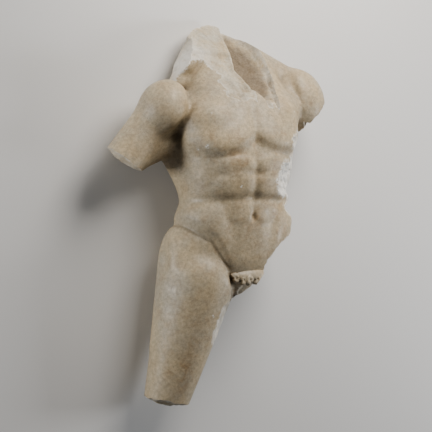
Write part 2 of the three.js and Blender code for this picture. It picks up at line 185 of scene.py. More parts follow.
def limb(p, start, end, start_radius, end_radius, flattening=1.0):
    """Distance to a tapered rod with round ends: to its axis, less a radius that runs from start to end.

    The run is 1.12 times t squared over t plus 0.12, which is level at the start.
    """
    start = np.asarray(start, float)
    along = np.asarray(end, float) - start
    rel = p - start
    t = np.clip((rel @ along) / (along @ along), 0, 1)
    off = (rel - t[:, None] * along) / (1.0, 1.0, flattening)
    taper = 1.12 * t * t / (t + 0.12)
    return np.sqrt((off * off).sum(1)) - (start_radius + (end_radius - start_radius) * taper)


def muscle(p, centre, radii, lean=0.0):
    """Near distance to an ellipsoid leaned in the x, y plane: k0 times k0 less one, over k1."""
    c, s = math.cos(math.radians(lean)), math.sin(math.radians(lean))
    x, y, z = (p - np.asarray(centre, float)).T
    q = np.stack([x * c + y * s, y * c - x * s, z], 1) / np.asarray(radii, float)
    k0 = np.sqrt((q * q).sum(1)) + 1e-9
    k1 = np.sqrt(((q / np.asarray(radii, float)) ** 2).sum(1)) + 1e-9
    return k0 * (k0 - 1) / k1


# ------------------------------------------------------------------ the body's forms
def section(y):
    """Half width and depths at a height, on a Catmull-Rom curve through the sections."""
    last = len(SECTIONS) - 1
    t = np.clip((y - SECTION_LOWEST) / SECTION_STEP, 0, last - 1e-6)
    i = np.floor(t).astype(int)
    f = (t - i)[:, None]
    a, b, c, d = (SECTIONS[np.clip(i + k, 0, last)] for k in (-1, 0, 1, 2))
    return 0.5 * (2 * b + (c - a) * f + (2 * a - 5 * b + 4 * c - d) * f**2 + (3 * b - a - 3 * c + d) * f**3)


def trunk(x, y, z):
    """Distance from the axis, less where a superellipse of the section lies that way."""
    half, front, back = section(y).T
    depth = np.where(z > 0, front, back)
    n = SECTION_POWER
    q = (np.abs(x / half) ** n + np.abs(z / depth) ** n) ** (1 / n) + 1e-9
    around = np.where(q < 0.05, -0.9 * np.minimum(half, depth), np.hypot(x, z) * (1 - 1 / q))
    around = trim(around, y - TRUNK_TOP, TRUNK_END_SOFTNESS)
    return trim(around, TRUNK_FOOT - y, TRUNK_END_SOFTNESS)


def chest_muscle(side, y):
    """Full along its lower border, a parabola in side, and thinning towards the collar bone."""
    curve = np.where(side < 105, 0.0029, 0.0075)
    above_border = y - (133 + curve * (side - 105) ** 2)
    thinning = (1 - ease((y - 180) / 130)) * (1 - 0.5 * ease((side - 120) / 60))
    return 17 * swell(above_border, 22) * thinning * (1 - 0.4 * furrow(side, 30))


def belly_muscle(side, y):
    """Low domes in rows, less a furrow along each carved line, and the navel."""
    h = 4 * dome(side, y, 48, 114, 58, 28) + 5.5 * dome(side, y, 48, 64, 60, 36)
    h += 3.5 * dome(side, y, 33, 6, 44, 36) + 5 * dome(side, y, 0, -74, 84, 84)
    h -= 3 * furrow(side, 13) * ease((y + 20) / 50) * (1 - ease((y - 140) / 60))
    h -= 4.5 * furrow(line_distance(side, y, RIB_LINE)[0], 13)
    upper, share = line_distance(side, y, UPPER_BELLY_LINE)
    h -= 2.2 * furrow(upper, 13) * (1 - 0.7 * share)
    border, _ = line_distance(side, y, BELLY_SIDE_LINE)
    h -= 5.5 * furrow(border, 19) * ease((y + 105) / 90) * (1 - ease((y - 5) / 40))
    return h - 6.5 * np.exp(-((side / 6.5) ** 2) - ((y + 11) / 10) ** 2)


def flank_pad(x, y, z):
    """Soft pad over the hip bone: a swell above the groin line, thinning upwards and to the back."""
    side = np.abs(x)
    line = np.array(GROIN_LINE, float)
    line_height = np.interp(-side, line[:, 0], line[:, 1])
    height = np.where(x < 0, 6 + 8 * ease((side - 60) / 80), 6)
    around = ease((side - 46) / 34) * (1 - 0.75 * ease((-z - 20) / 50))
    return height * swell(y - line_height, 16) * (1 - ease((y + 22) / 62)) * around


def back_muscle(side, y):
    """Spine furrow, with domes for the long muscles beside it and the shoulder blades."""
    spine = -11 * furrow(side, 15) * ease((y + 70) / 60) * (1 - ease((y - 330) / 60))
    return spine + 7 * dome(side, y, 42, 20, 34, 120) + 17 * dome(side, y, 80, 262, 60, 90)


def carving(x, y, z):
    """Height of the carving out of the trunk, front and back eased in by depth."""
    side = np.abs(x)
    breastbone = 3.5 * furrow(side, 14) * ease((y - 140) / 40) * (1 - ease((y - 250) / 60))
    front = belly_muscle(side, y) + chest_muscle(side, y) - breastbone
    return front * ease((z - 5) / 50) + back_muscle(side, y) * ease((-z - 10) / 40) + flank_pad(x, y, z)


def right_arm(p):
    """Upper arm, the fold of the armpit and the shoulder cap, blended."""
    shoulder = (-SHOULDER_HALF + 8, SHOULDER_HEIGHT - 14, -10)
    arm = limb(p, shoulder, ARM_END, ARM_RADIUS, ARM_RADIUS)
    armpit = limb(p, (-140, 196, -42), (-250, 144, -38), 46, 42)
    cap = muscle(p, (-SHOULDER_HALF + 4, SHOULDER_HEIGHT - 16, 8), (63, 70, 63), -26)
    return blend(blend(arm, armpit, 24), cap, 18)


def left_shoulder(p):
    """Shoulder cap and the short stump under it, blended."""
    cap = muscle(p, (SHOULDER_HALF - 8, SHOULDER_HEIGHT + 10, -8), (67, 84, 66), 18)
    stump = limb(p, (186, 270, -16), (196, 244, -28), ARM_RADIUS + 3, ARM_RADIUS)
    return blend(cap, stump, 16)


def body(p):
    """The whole body before it was broken: every form blended in turn, less the long carved lines."""
    x, y, z = p.T
    dipped_y = y - CHEST_DIP * x * ease((y - 20) / 160)
    dipped = np.stack([x, dipped_y, z], 1)
    d = trunk(x, dipped_y, z) - carving(x, dipped_y, z)
    d = blend(d, limb(dipped, (-158, 225, -50), (-106, 58, -30), 52, 27), 26)
    d = blend(d, limb(dipped, (152, 225, -46), (112, 55, -30), 50, 27), 26)
    for side in (-1, 1):
        d = blend(d, limb(dipped, (side * 92, 236, 60), (side * 170, 258, 16), 38, 32), 24)
        d = blend(d, muscle(p, (side * 72, -128, -52), (80, 86, 66)), 16)
    d = blend(d, muscle(p, (-128, -112, -8), (66, 90, 68)), 26)
    d = blend(d, muscle(p, (122, -100, -6), (54, 70, 60)), 25)
    d = blend(d, limb(p, NECK_ROOT, NECK_TOP, NECK_RADIUS, NECK_RADIUS - 3, NECK_FLATTENING), 30)
    d = blend(d, limb(p, (-44, 406, -56), (-150, 306, -38), 50, 19), 26)
    d = blend(d, limb(p, (8, 408, -62), (176, 330, -28), 46, 36), 30)
    d = blend(d, limb(p, (-56, 430, -44), (-118, 368, -36), 42, 34), 8)
    d = blend(d, right_arm(p), 14)
    d = blend(d, left_shoulder(p), 14)
    thigh = blend(limb(p, HIP, KNEE, HIP_RADIUS, KNEE_RADIUS), limb(p, *OUTER_THIGH), 14)
    d = blend(d, thigh, 12)
    d = d + 9 * np.exp(-(((y + 122) / 34) ** 2) - (z / 18) ** 2) * ease((-x - 120) / 30)
    d = d + 5.5 * furrow(line_distance(x, y, GROIN_LINE)[0], 8) * ease((z + 50) / 40)
    d = d + 5 * furrow(line_distance(x, y, SHOULDER_LINE_RIGHT)[0], 9) * ease((z - 5) / 30)
    return d + 4.5 * furrow(line_distance(x, y, SHOULDER_LINE_LEFT)[0], 9) * ease((z - 5) / 30)


# ------------------------------------------------------------------ the skin as a grid
def skin_rays(turns, rings):
    """Starts on the skeleton line, and ways on a cone: sine and cosine of the cone and the turn."""
    share = np.linspace(0, 1, rings)
    start = np.stack([np.interp(share, SKELETON[:, 0], SKELETON[:, k]) for k in (1, 2, 3)], 1)
    cone = np.radians(np.interp(share, SKELETON[:, 0], SKELETON[:, 4]))[:, None]
    turn = np.linspace(0, 2 * np.pi, turns, endpoint=False)[None]
    way = np.stack([np.sin(cone) * np.cos(turn), np.cos(cone) + 0 * turn, np.sin(cone) * np.sin(turn)], -1)
    return np.broadcast_to(start[:, None], way.shape), way


def first_crossing(start, way):
    """Walk out by seven tenths of the field until it turns positive, then halve the last stride."""
    shape = way.shape
    start, way = start.reshape(-1, 3), way.reshape(-1, 3)
    reach = np.full(len(way), 5.0)
    inside, outside = np.zeros(len(way)), np.full(len(way), 900.0)
    walking = np.arange(len(way))
    while len(walking):
        value = body(start[walking] + way[walking] * reach[walking, None])
        through = (value >= 0) | (reach[walking] > 890)
        outside[walking[through]] = reach[walking[through]]
        walking, value = walking[~through], value[~through]
        inside[walking] = reach[walking]
        reach[walking] += np.clip(-0.7 * value, 2, 40)
    for _ in range(15):
        middle = (inside + outside) / 2
        within = body(start + way * middle[:, None]) < 0
        inside, outside = np.where(within, middle, inside), np.where(within, outside, middle)
    return (start + way * outside[:, None]).reshape(shape)


def slope(p):
    """Field and its gradient: what the field gains over a short step along each axis, by the step."""
    value = body(p)
    gains = [body(p + step) - value for step in np.eye(3) * GRADIENT_STEP]
    return value, np.stack(gains, 1) / GRADIENT_STEP


def eased_grid(grid, rounds):
    """Each round slides points halfway to the middle of their four neighbours and back onto the skin."""
    for _ in range(rounds):
        inner = grid[1:-1]
        middle = (grid[:-2] + grid[2:] + np.roll(inner, 1, 1) + np.roll(inner, -1, 1)) / 4
        p = inner.reshape(-1, 3)
        out = slope(p)[1]
        out /= np.linalg.norm(out, axis=1, keepdims=True) + 1e-9
        move = 0.5 * (middle.reshape(-1, 3) - p)
        p = p + move - (move * out).sum(1, keepdims=True) * out
        grid = np.concatenate([grid[:1], onto_skin(p, 1).reshape(inner.shape), grid[-1:]])
    return grid


def onto_skin(p, steps):
    """Newton steps: each takes off the field times its gradient over the gradient's square."""
    for _ in range(steps):
        value, push = slope(p)
        p = p - np.clip(value / ((push * push).sum(1) + 1e-6), -5, 5)[:, None] * push
    return p


# ------------------------------------------------------------------ broken stone
def broken_height(s, t, grain, seed, octaves):
    """Folded sine waves: each layer 1.9 times finer, half as high and turned 137 degrees more."""
    height = np.zeros(s.shape)
    for i in range(octaves):
        turn = seed * 1.7 + i * 2.4
        wave = 2 * math.pi * 1.9**i / grain
        along = (s * math.cos(turn) + t * math.sin(turn)) * wave + seed * 3.1 + i * 1.3
        across = (t * math.cos(turn) - s * math.sin(turn)) * wave * 0.83 + seed * 5.7 + i * 2.1
        height += 0.5 * 0.52**i * (2 * np.abs(np.sin(0.5 * along + 0.6 * np.sin(across))) - 1.25)
    return height


def plain(s, t):
    """A level break."""
    return 0 * s


def humped(radius):
    """A rounded stump: falls away by the square of the distance over twice the radius."""
    return lambda s, t: -(s * s + t * t) / (2 * radius)


def scooped(radius):
    """A shallow spall that runs out at its rim, by the same rule."""
    return lambda s, t: (s * s + t * t) / (2 * radius)


def throat(s, t):
    """Neck and throat: a lump at the nape, a pale sloping field, a ridge, and a trough beyond it.

    The trough runs from the ridge to the far wall. Its profile across is its depth times 1.25 times one
    less u to the power 0.8, risen over the first fifth. Past that wall the face climbs out of the stone.
    """
    ridge = np.interp(t, (-128, -92, -58, -22, 21, 65), (40, 19, 3, -9, 2, 2))
    wall = np.interp(t, (-126, -39, 56, 110), (80, 91, 74, 40))
    u = np.clip((s - ridge) / (wall - ridge), 0, 1)
    depth = np.interp(t, (-135, -105, -60, 30, 62, 110), (5, 18, 34, 36, 22, 10))
    height = -depth * 1.25 * ease(u / 0.2) * (1 - u) ** 0.8
    height -= 6 * furrow(s - wall + 5, 4) * ease((-20 - t) / 30)
    height += 3 * furrow(s - ridge + 3, 5) * ease((60 - t) / 40)
    height += 2.5 * furrow(s - ridge + 34, 9) * ease((20 - t) / 30)
    high = np.maximum(t - 80, 0)
    lump = ease((t - 24) / 10) * ease((8 + 0.6 * high - s) / (12 + 0.5 * high))
    low = 6 * ease((-50 - t) / 40) * ease((30 - s) / 30)
    return height + 7 * lump - low + 1.3 * np.maximum(s - wall, 0)


def hip_face(s, t):
    """Rises by nine to its upper end, steps down by thirteen below the hip bone, and back up lower down."""
    return 9 * ease(t / 90) ** 2 - 13 * ease((50 - t) / 45) + 9 * ease((-35 - t) / 25)


def waist_face(s, t):
    """Two bites of eight, one above the other, and below them a slope that runs out of the stone."""
    return 8 * np.sin(np.pi * (t - 15) / 56) ** 2 + 0.7 * np.maximum(-32 - t, 0)


# Breaks, by name: point, facing, up, half sizes, depth, roughness, grain, seed and shape.
BREAKS = {
    "genitals": ((2, -178, 66), (0.12, -0.66, 0.74), (0, 0, 1), (46, 44), 60, 2.5, 26, 11, plain),
    "neck and throat": ((0, 370, 0), (0.035, 0.7, 0.713), (0, 1, -1), (125, 165), 200, 3.2, 60, 3, throat),
    "shoulder slope": (
        (-122, 376, -25), (-0.865, 0.496, 0.107), (0, 1, 0), (90, 64), 90, 1.2, 60, 7, plain,
    ),
    "right arm": (
        (-301, 130, -36), (-0.556, -0.77, -0.295), (0, 1, 0), (100, 100), 130, 2.4, 45, 1, humped(150),
    ),
    "left arm": ((218, 246, 48), (0.747, -0.66, 0), (0, 1, 0), (110, 70), 120, 4, 55, 2, plain),
    "left flank": ((124, 150, 83), (0.759, -0.22, 0.607), (0, 1, 0), (90, 80), 120, 4, 70, 5, plain),
    "rib spall": (
        (86, 78, 92), (0.62, -0.12, 0.77), (0.36, 0.93, 0), (34, 50), 50, 2, 20, 14, scooped(120),
    ),
    "left waist": ((119, 46, 52), (0.86, -0.1, 0.5), (0, 1, 0), (70, 62), 90, 3, 45, 12, waist_face),
    "left hip": ((86, -107, 46), (0.818, -0.54, 0.208), (0, 1, 0), (190, 190), 260, 5, 80, 4, hip_face),
    "groin": ((22, -184, 13), (0.6, -0.8, 0.05), (0, 0, 1), (70, 125), 110, 3, 30, 9, plain),
    "thigh end": ((-158, -476, -6), (0, -1, 0), (0, 0, 1), (120, 120), 120, 5, 60, 6, humped(130)),
    "inner thigh": (
        (-61, -285, 35), (0.704, -0.28, 0.657), (0, 1, 0), (50, 70), 60, 2.5, 40, 8, scooped(260),
    ),
}


def break_axes(facing, up):
    """Unit vectors across, up and out of a broken face."""
    out = np.array(facing, float) / np.linalg.norm(facing)
    rise = np.array(up, float) - out * (np.array(up, float) @ out)
    rise /= np.linalg.norm(rise)
    return np.cross(rise, out), rise, out


def break_face(name, s, t):
    """Height of a break's face over its plane: its shape plus the broken stone."""
    rough, grain, seed, shape = BREAKS[name][5:]
    return shape(s, t) + rough * broken_height(s, t, grain, seed, 7)


def breaking_block(name, cell):
    """Mesh of a block: its near face at s, t and the broken height, its far face at its depth."""
    at, facing, up, half, depth = BREAKS[name][:5]
    across, rise, out = break_axes(facing, up)
    columns, rows = (int(round(2 * size / cell)) + 1 for size in half)
    s, t = np.meshgrid(np.linspace(-half[0], half[0], columns), np.linspace(-half[1], half[1], rows))
    plane = np.array(at, float) + s[..., None] * across + t[..., None] * rise
    near = plane + break_face(name, s, t)[..., None] * out
    far = plane + depth * out
    return mesh_from(name, *slab(near, far), finish=1)


def slab(near, far):
    """Closed quads over two grids of the same size: each grid, and a wall round their rims."""
    rows, columns = near.shape[:2]
    ids = np.arange(rows * columns).reshape(rows, columns)
    below = ids + rows * columns

    def cells(grid):
        corners = (grid[:-1, :-1], grid[:-1, 1:], grid[1:, 1:], grid[1:, :-1])
        return np.stack(corners, -1).reshape(-1, 4)

    rim = np.concatenate([ids[0, :-1], ids[:-1, -1], ids[-1, :0:-1], ids[:0:-1, 0]])
    after = np.roll(rim, -1)
    wall = np.stack([rim, after, after + rows * columns, rim + rows * columns], 1)
    quads = np.concatenate([cells(ids)[:, ::-1], cells(below), wall])
    return np.concatenate([near.reshape(-1, 3), far.reshape(-1, 3)]), quads


# ------------------------------------------------------------------ meshes
def mesh_from(name, points, quads, triangles=None, finish=0):
    """Fills a mesh from arrays in millimetres; finish is 0 for carved faces and 1 for broken ones."""
    triangles = np.zeros((0, 3), int) if triangles is None else triangles
    mesh = bpy.data.meshes.new(name)
    mesh.vertices.add(len(points))
    mesh.vertices.foreach_set("co", (np.asarray(points) * MM).astype(np.float32).ravel())
    corners = np.concatenate([quads.ravel(), triangles.ravel()]).astype(np.int32)
    mesh.loops.add(len(corners))
    mesh.loops.foreach_set("vertex_index", corners)
    sizes = np.concatenate([np.full(len(quads), 4), np.full(len(triangles), 3)])
    mesh.polygons.add(len(sizes))
    mesh.polygons.foreach_set("loop_start", np.concatenate([[0], np.cumsum(sizes)[:-1]]).astype(np.int32))
    mesh.update(calc_edges=True)
    mesh.validate()
    mesh.materials.append(None)
    mesh.materials.append(None)
    mesh.polygons.foreach_set("material_index", np.full(len(mesh.polygons), finish, np.int32))
    return mesh


def skin_mesh(turns, rings, rounds):
    """Mesh of the unbroken body: the eased grid, its first and last ring drawn to one point each."""
    grid = eased_grid(first_crossing(*skin_rays(turns, rings)), rounds)
    inner = grid[1:-1]
    ids = np.arange(inner.shape[0] * turns).reshape(-1, turns)
    after = np.roll(ids, -1, 1)
    quads = np.stack([ids[:-1], after[:-1], after[1:], ids[1:]], -1).reshape(-1, 4)
    top = np.full(turns, ids.size)
    caps = np.concatenate([
        np.stack([top, after[0], ids[0]], 1),
        np.stack([top + 1, ids[-1], after[-1]], 1),
    ])
    points = np.concatenate([inner.reshape(-1, 3), grid[0, :1], grid[-1, :1]])
    return mesh_from("torso skin", points, quads, caps)


def even_skin(piece, cell):
    """Squares of one size all over the skin, set back onto it and evened out in three rounds."""
    step = piece.modifiers.new("even squares", "REMESH")
    step.mode = "VOXEL"
    step.voxel_size = cell * MM
    apply_modifiers(piece)
    mesh = piece.data
    mesh.materials.append(None)
    mesh.materials.append(None)
    edges = mesh_edges(mesh)
    ends = np.concatenate([edges, edges[:, ::-1]])
    count = np.bincount(ends[:, 0], minlength=len(mesh.vertices))[:, None]
    p = onto_skin(mesh_points(mesh), 3)
    for _ in range(3):
        middle = np.stack([np.bincount(ends[:, 0], p[ends[:, 1], k], len(p)) for k in range(3)], 1) / count
        out = slope(p)[1]
        out /= np.linalg.norm(out, axis=1, keepdims=True) + 1e-9
        move = 0.6 * (middle - p)
        p = onto_skin(p + move - (move * out).sum(1, keepdims=True) * out, 1)
    mesh.vertices.foreach_set("co", (p * MM).astype(np.float32).ravel())
    mesh.update()


def new_object(name, mesh):
    """An object in the scene's own collection."""
    piece = bpy.data.objects.new(name, mesh)
    bpy.context.scene.collection.objects.link(piece)
    return piece


def cut_or_join(piece, mesh, operation):
    """One exact cut or join of two closed meshes, applied at once."""
    tool = new_object("tool", mesh)
    step = piece.modifiers.new("step", "BOOLEAN")
    step.operation = operation
    step.solver = "MANIFOLD"
    step.object = tool
    apply_modifiers(piece)
    bpy.data.objects.remove(tool)
    bpy.data.meshes.remove(mesh)


def apply_modifiers(piece):
    """Puts the finished shape in place of the old mesh."""
    result = bpy.data.meshes.new_from_object(piece.evaluated_get(bpy.context.evaluated_depsgraph_get()))
    piece.modifiers.clear()
    old = piece.data
    piece.data = result
    bpy.data.meshes.remove(old)


def floor_block():
    """A plain block below the rest plane."""
    corner = np.array([(-600, -700), (600, -700), (600, 700), (-600, 700)], float).reshape(2, 2, 2)
    corner[1] = corner[1, ::-1]
    near = np.concatenate([corner, np.full((2, 2, 1), REST_PLANE)], -1)
    far = near - (0, 0, 200)
    points, quads = slab(far, near)
    return mesh_from("floor block", points, quads)


# Curls of the tuft: x, y, z, size, starting angle in degrees and hand.
CURLS = (
    (-36, -164, 75, 17, 150, -1),
    (-17, -167, 80, 14, 240, 1),
    (1, -167, 82, 16, 260, -1),
    (21, -165, 80, 15, 230, 1),
    (39, -160, 75, 16, 250, -1),
)


def hair_curls():
    """The tuft: a low bolster under worn snail curls.

    A curl is a tube whose middle line winds in by one turn and a sixth while its radius shrinks and it
    climbs out of the stone; the tube thins to its tip by the square root.
    """
    yield tube_mesh("bolster", *bolster_path())
    for x, y, z, size, start, hand in CURLS:
        share = np.linspace(0, 1, 26)
        turn = math.radians(start) + hand * share * 2.33 * math.pi
        reach = size * (0.52 - 0.44 * share)
        path = np.stack([x + reach * np.cos(turn), y + 1.05 * reach * np.sin(turn), z + 3 * share], 1)
        yield tube_mesh("curl", path, size * 0.4 * np.sqrt(1.15 - share) + 1)


def bolster_path():
    """A bar across the front, bowed forward, 34 mm thick and rounded off at its ends."""
    share = np.linspace(0, 1, 24)
    x = -46 + 98 * share
    path = np.stack([x, -158 + 0.09 * x, 71 - 0.0035 * (x - 6) ** 2], 1)
    return path, 17 * np.sqrt(np.clip(1 - (2 * share - 1) ** 6, 0.02, 1))


def tube_mesh(name, path, radius, turns=14):
    """Circles square to a path, ends closed by a point: middle plus radius times cosine and sine."""
    way = np.gradient(path, axis=0)
    way /= np.linalg.norm(way, axis=1, keepdims=True)
    side = np.cross(way, (0.31, 0.27, 0.91))
    side /= np.linalg.norm(side, axis=1, keepdims=True)
    rise = np.cross(way, side)
    turn = np.linspace(0, 2 * np.pi, turns, endpoint=False)[None, :, None]
    round_way = np.cos(turn) * side[:, None] + np.sin(turn) * rise[:, None]
    ring = path[:, None] + radius[:, None, None] * round_way
    ids = np.arange(len(path) * turns).reshape(-1, turns)
    after = np.roll(ids, -1, 1)
    quads = np.stack([ids[:-1], ids[1:], after[1:], after[:-1]], -1).reshape(-1, 4)[:, ::-1]
    first = np.full(turns, ids.size)
    caps = np.concatenate([
        np.stack([first, after[0], ids[0]], 1),
        np.stack([first + 1, ids[-1], after[-1]], 1),
    ])
    tips = path[:1] - way[:1] * radius[0] * 0.5, path[-1:] + way[-1:] * radius[-1] * 0.5
    points = np.concatenate([ring.reshape(-1, 3), *tips])
    return mesh_from(name, points, quads, caps)


def carve_torso(turns, rings, rounds, skin_cell, break_cell):
    """The body's skin, less every breaking block and all that lies below the floor."""
    torso = new_object("marble_torso", skin_mesh(turns, rings, rounds))
    even_skin(torso, skin_cell)
    for name in BREAKS:
        cut_or_join(torso, breaking_block(name, break_cell), "DIFFERENCE")
        if name == "genitals":
            for curl in hair_curls():
                cut_or_join(torso, curl, "UNION")
    cut_or_join(torso, floor_block(), "DIFFERENCE")
    return torso


def mesh_points(mesh):
    """Vertex places in the shape functions' millimetres."""
    points = np.zeros(len(mesh.vertices) * 3, np.float32)
    mesh.vertices.foreach_get("co", points)
    return points.reshape(-1, 3).astype(float) / MM


def mesh_edges(mesh):
    """Pairs of vertex numbers."""
    pairs = np.zeros(len(mesh.edges) * 2, np.int32)
    mesh.edges.foreach_get("vertices", pairs)
    return pairs.reshape(-1, 2)


def face_finish(mesh):
    """Nought for a carved face and one for a broken one."""
    finish = np.zeros(len(mesh.polygons), np.int32)
    mesh.polygons.foreach_get("material_index", finish)
    return finish


def break_rims(mesh, steps=6, keep=0.72):
    """One where carved and broken faces meet, fading by a fixed share for each edge away from there."""
    finish = face_finish(mesh)
    sizes = np.zeros(len(mesh.polygons), np.int32)
    mesh.polygons.foreach_get("loop_total", sizes)
    corners = np.zeros(len(mesh.loops), np.int32)
    mesh.loops.foreach_get("vertex_index", corners)
    of_corner = np.repeat(finish, sizes)
    count = [np.bincount(corners[of_corner == kind], minlength=len(mesh.vertices)) for kind in (0, 1)]
    rim = ((count[0] > 0) & (count[1] > 0)).astype(float)
    a, b = mesh_edges(mesh).T
    for _ in range(steps):
        spread = rim.copy()
        np.maximum.at(spread, a, keep * rim[b])
        np.maximum.at(spread, b, keep * rim[a])
        rim = spread
    return rim


def trough_depth(p):
    """Share of the throat's full depth, on the neck's break alone."""
    at, facing, up, half = BREAKS["neck and throat"][:4]
    across, rise, out = break_axes(facing, up)
    rel = p - np.array(at, float)
    s, t, height = rel @ across, rel @ rise, rel @ out
    return np.clip(-height / 26, 0, 1) * (np.abs(height - break_face("neck and throat", s, t)) < 3)


# Stains, and painted shade under the tuft: x, y, z, radius and strength. One below nought keeps a place
# clean.
STAINS_AND_SHADE = (
    (95, 195, 115, 34, 0.9),
    (-20, 130, 125, 46, 0.5),
    (60, 118, 122, 40, 0.5),
    (30, -20, 105, 60, 0.45),
    (90, -40, 90, 50, 0.5),
    (-40, -110, 90, 50, 0.55),
    (-165, -395, 40, 34, 1.0),
    (-120, -300, 60, 60, 0.4),
    (205, 250, 50, 40, 0.7),
    (-90, 150, 110, 50, 0.6),
    (0, -158, 92, 34, -1.0),
    # Brown and painted shade by the broken recess under the tuft.
    (-30, -185, 60, 26, 1.4),
    (0, 160, -90, 90, 0.5),
    (-60, -200, -90, 70, 0.5),
)


# Small bruises that show white: x, y, z, radius and strength.
CHIPS = (
    (-142, 152, 76, 6, 1.0),
    (-127, 158, 99, 7, 1.0),
    (-68, -237, 69, 8, 1.0),
    (-99, -254, 76, 6, 1.0),
    (-82, -287, 58, 6, 0.8),
    (-40, 62, 118, 6, 0.8),
    (-70, 68, 116, 5, 0.8),
    (124, 250, 84, 6, 0.7),
    (-110, 240, 92, 5, 0.7),
)


# Breaks that are newer and whiter, with painted highlight where side light struck them: x, y, z, radius and
# strength.
WHITE_BREAKS_AND_HIGHLIGHTS = (
    (125, 150, 84, 62, 1.0),
    (88, 78, 94, 52, 1.0),
    (118, 46, 52, 40, 0.8),
    (-122, 376, -25, 60, 0.8),
    (-61, -285, 35, 90, 0.7),
    (110, -90, 30, 90, 0.5),
)


def clouds(p, table):
    """Sum of round clouds, each its strength times a bell curve of the distance from its middle."""
    total = np.zeros(len(p))
    for x, y, z, radius, strength in table:
        total += strength * furrow(np.sqrt(((p - (x, y, z)) ** 2).sum(1)), radius)
    return total


def hollowness(mesh):
    """How shut in a point is: the field a little way out, against the free space that there could be."""
    p = mesh_points(mesh)
    out = np.zeros(len(p) * 3, np.float32)
    mesh.vertex_normals.foreach_get("vector", out)
    out = out.reshape(-1, 3).astype(float)
    shut = [np.clip(1 - body(p + out * reach) / reach, 0, 1) for reach in (4, 9, 20)]
    return 0.35 * shut[0] + 0.35 * shut[1] + 0.3 * shut[2]


def store(mesh, name, values):
    """Writes one number for each vertex as a named attribute."""
    mesh.attributes.new(name, "FLOAT", "POINT").data.foreach_set("value", values.astype(np.float32))


# ------------------------------------------------------------------ materials
class Nodes:
    """Short hand for building one material's node tree."""

    def __init__(self, name):
        self.material = bpy.data.materials.new(name)
        self.material.use_nodes = True
        self.tree = self.material.node_tree
        self.tree.nodes.clear()
        self.coords = self.tree.nodes.new("ShaderNodeTexCoord").outputs["Object"]

    def put(self, socket, value):
        """Links a socket, or sets a plain value."""
        if isinstance(value, bpy.types.NodeSocket):
            self.tree.links.new(value, socket)
        else:
            socket.default_value = value

    def noise(self, scale, detail=4.0, roughness=0.55, distortion=0.0):
        """Cloudy pattern on object coordinates, scale in cells a metre."""
        node = self.tree.nodes.new("ShaderNodeTexNoise")
        self.put(node.inputs["Vector"], self.coords)
        node.inputs["Scale"].default_value = scale
        node.inputs["Detail"].default_value = detail
        node.inputs["Roughness"].default_value = roughness
        node.inputs["Distortion"].default_value = distortion
        return node.outputs["Fac"]

    def cells(self, scale, feature="F1"):
        """Distance to scattered points."""
        node = self.tree.nodes.new("ShaderNodeTexVoronoi")
        node.feature = feature
        self.put(node.inputs["Vector"], self.coords)
        node.inputs["Scale"].default_value = scale
        return node.outputs["Distance"]

    def attribute(self, name):
        """A number stored on the mesh."""
        node = self.tree.nodes.new("ShaderNodeAttribute")
        node.attribute_name = name
        return node.outputs["Fac"]

    def ramp(self, value, low, high, low_out=0.0, high_out=1.0):
        """Straight run from low to high, held at both ends."""
        node = self.tree.nodes.new("ShaderNodeMapRange")
        node.interpolation_type = "SMOOTHSTEP"
        self.put(node.inputs["Value"], value)
        for key, number in (("From Min", low), ("From Max", high), ("To Min", low_out), ("To Max", high_out)):
            node.inputs[key].default_value = number
        return node.outputs["Result"]

    def maths(self, kind, a, b):
        """One sum of two numbers, held between nought and one unless it takes away."""
        node = self.tree.nodes.new("ShaderNodeMath")
        node.operation = kind
        node.use_clamp = kind != "SUBTRACT"
        self.put(node.inputs[0], a)
        self.put(node.inputs[1], b)
        return node.outputs[0]

    def mix(self, share, a, b, kind="MIX"):
        """Colour a going over to colour b by a share."""
        node = self.tree.nodes.new("ShaderNodeMix")
        node.data_type = "RGBA"
        node.blend_type = kind
        self.put(node.inputs["Factor"], share)
        self.put(node.inputs["A"], a)
        self.put(node.inputs["B"], b)
        return node.outputs["Result"]

    def bump(self, height, strength, distance, normal=None):
        """Fine relief, distance in metres."""
        node = self.tree.nodes.new("ShaderNodeBump")
        node.inputs["Strength"].default_value = strength
        node.inputs["Distance"].default_value = distance
        self.put(node.inputs["Height"], height)
        if normal is not None:
            self.put(node.inputs["Normal"], normal)
        return node.outputs["Normal"]

    def finish(self, colour, roughness, normal, subsurface):
        """The stone's shader."""
        shader = self.tree.nodes.new("ShaderNodeBsdfPrincipled")
        self.put(shader.inputs["Base Color"], colour)
        self.put(shader.inputs["Roughness"], roughness)
        self.put(shader.inputs["Normal"], normal)
        shader.inputs["Subsurface Weight"].default_value = subsurface
        shader.inputs["Subsurface Radius"].default_value = (1.0, 0.8, 0.6)
        shader.inputs["Subsurface Scale"].default_value = 0.004
        shader.inputs["IOR"].default_value = 1.5
        output = self.tree.nodes.new("ShaderNodeOutputMaterial")
        self.put(output.inputs["Surface"], shader.outputs["BSDF"])
        return self.material


def colour4(value):
    """A colour with full alpha."""
    return (*value, 1.0)


